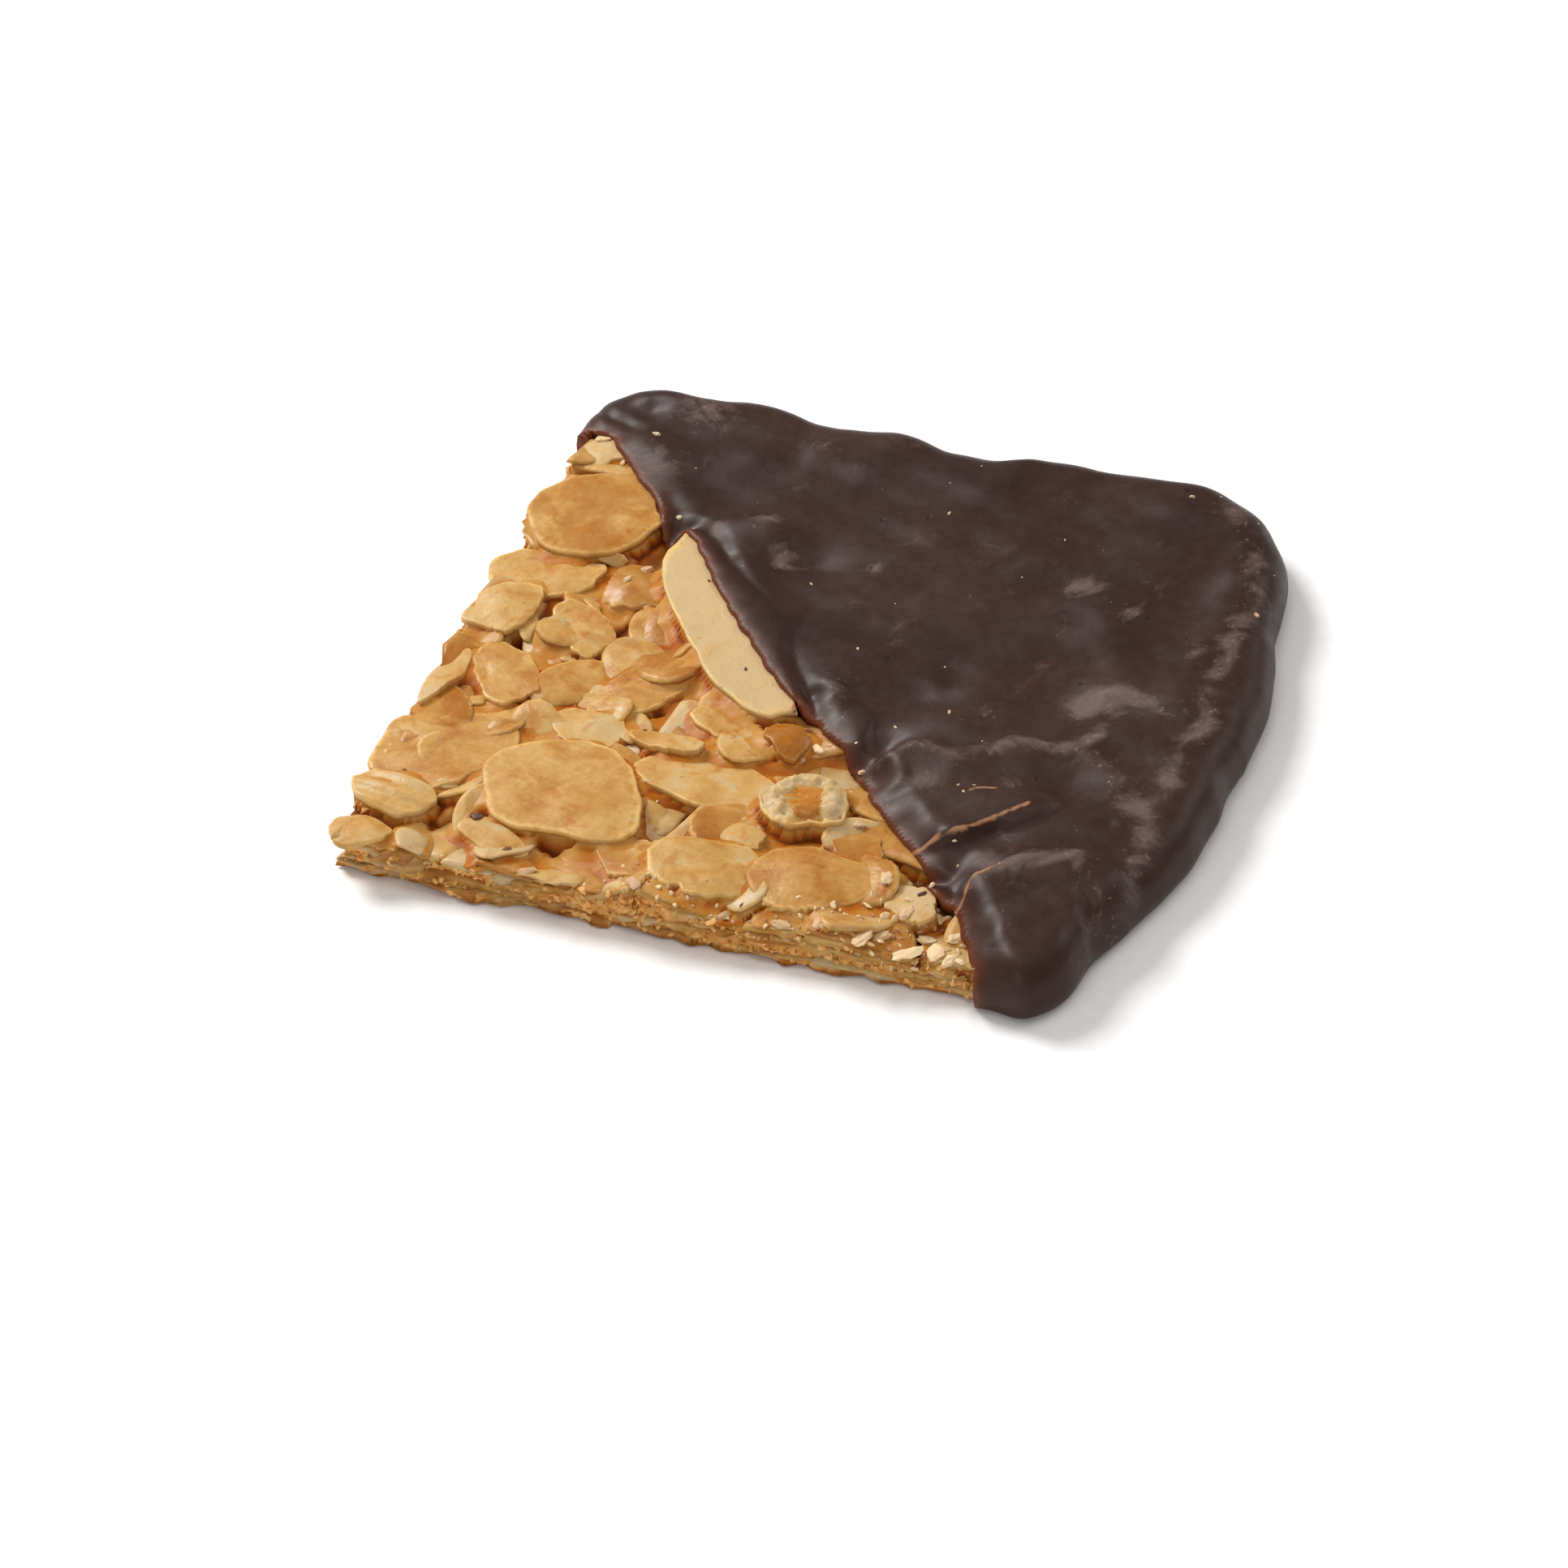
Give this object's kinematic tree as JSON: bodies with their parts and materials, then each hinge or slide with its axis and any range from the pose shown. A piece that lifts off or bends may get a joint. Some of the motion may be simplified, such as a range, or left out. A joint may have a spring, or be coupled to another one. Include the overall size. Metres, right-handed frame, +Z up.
{
  "type": "florentine cookie",
  "caption": "Flat square biscuit of sliced almonds set in caramel, one diagonal half dipped in dark chocolate that wraps its top, sides and underside.",
  "frame": {"origin": "on the surface that the florentine lies on, below the middle of its outline's box", "axes": "+Z is up through the thickness; the cut sides run along X and Y; the bare corner points to -X -Y and the dipped corner to +X +Y"},
  "size_m": [0.0645, 0.0607, 0.0065],
  "materials": {
    "almond_caramel": "sliced almonds bound in glossy caramel, crumbly where it was cut",
    "toasted_almond": "satin sliced almond with a thin sugar glaze",
    "pale_almond": "satin pale almond, hardly toasted",
    "dark_chocolate": "satin dark chocolate with faint bloom and specks"
  },
  "bodies": {
    "root": {"almond_slab": "almond_caramel", "chocolate_coat": "dark_chocolate", "slice_amber": "toasted_almond", "slice_back_corner": "pale_almond", "slice_bare_corner": "toasted_almond", "slice_border_crumb": "pale_almond", "slice_border_low": "toasted_almond", "slice_border_lump": "toasted_almond", "slice_edge_strip": "toasted_almond", "slice_front_corner": "toasted_almond", "slice_front_domed": "toasted_almond", "slice_front_left": "toasted_almond", "slice_front_middle": "toasted_almond", "slice_jagged": "toasted_almond", "slice_left_large": "toasted_almond", "slice_left_low": "toasted_almond", "slice_left_middle": "toasted_almond", "slice_left_striped": "toasted_almond", "slice_long_pale": "pale_almond", "slice_lumpy": "toasted_almond", "slice_oval": "toasted_almond", "slice_pale_middle": "pale_almond", "slice_ring_lump": "pale_almond", "slice_round_large": "toasted_almond", "slice_round_small": "toasted_almond", "slice_shard": "toasted_almond", "slice_slanted": "toasted_almond", "slice_thin_left": "toasted_almond", "slice_under_long": "toasted_almond"}
  },
  "joints": []
}
